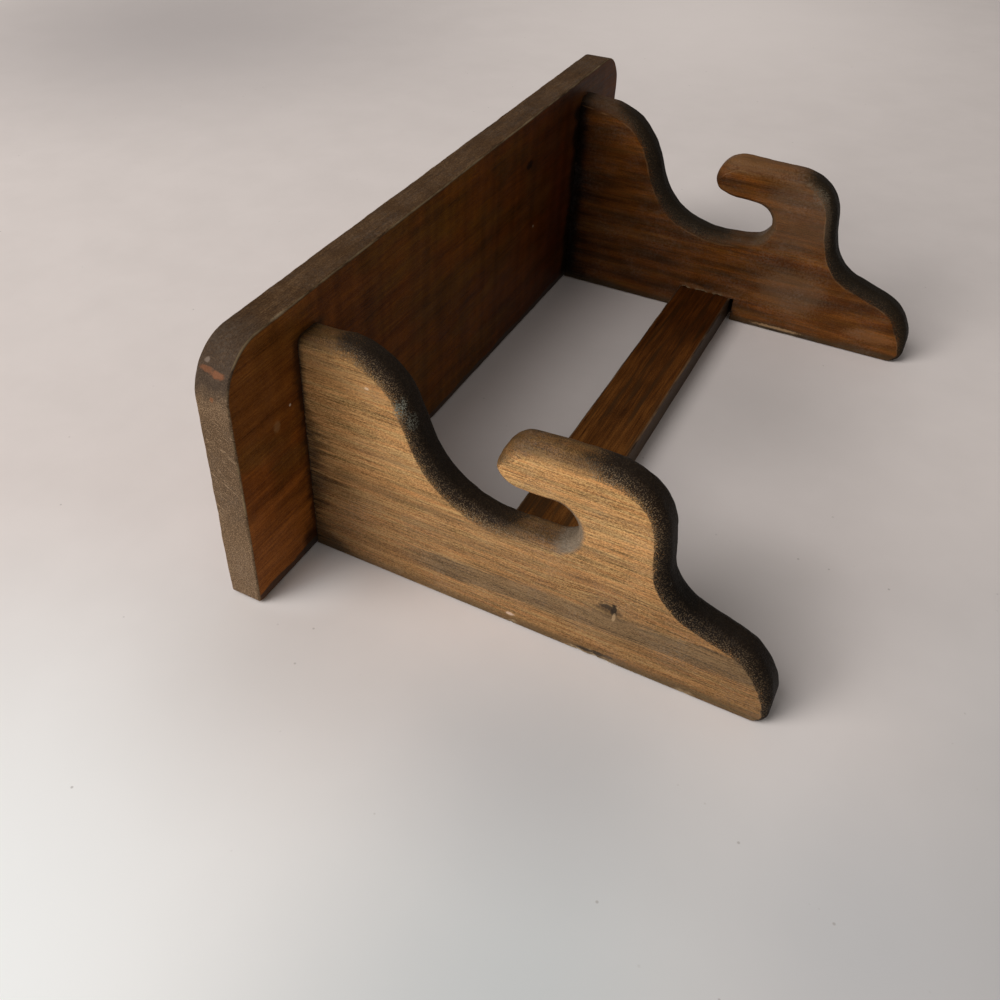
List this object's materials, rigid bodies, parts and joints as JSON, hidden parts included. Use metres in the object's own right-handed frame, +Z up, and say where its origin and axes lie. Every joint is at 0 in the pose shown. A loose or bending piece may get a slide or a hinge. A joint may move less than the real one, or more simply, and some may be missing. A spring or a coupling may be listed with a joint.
{
  "type": "wall rack with rod slots",
  "caption": "Stained pine wall shelf on shaped brackets, tied by a back rail, with hooked slots that hold a rod below the shelf.",
  "frame": {"origin": "middle of the back rail's rear face, on the wall plane", "axes": "+Z up, +Y into the wall (the front faces -Y), +X along the shelf to the right as seen from the front"},
  "size_m": [0.444, 0.144, 0.257],
  "materials": {
    "shelf_pine": "dark brown stained pine, satin",
    "bracket_pine": "light brown stained pine with scorched, rounded edges, satin",
    "rail_pine": "red-brown stained pine, satin",
    "screw_steel": "plated steel",
    "plate_steel": "zinc-plated steel"
  },
  "bodies": {
    "root": {"shelf_board": "shelf_pine", "left_bracket": "bracket_pine", "right_bracket": "bracket_pine", "back_rail": "rail_pine", "shelf_screws": "screw_steel", "rail_screws": "screw_steel", "left_hanger_plate": "plate_steel", "right_hanger_plate": "plate_steel", "hanger_screws": "screw_steel"}
  },
  "joints": []
}
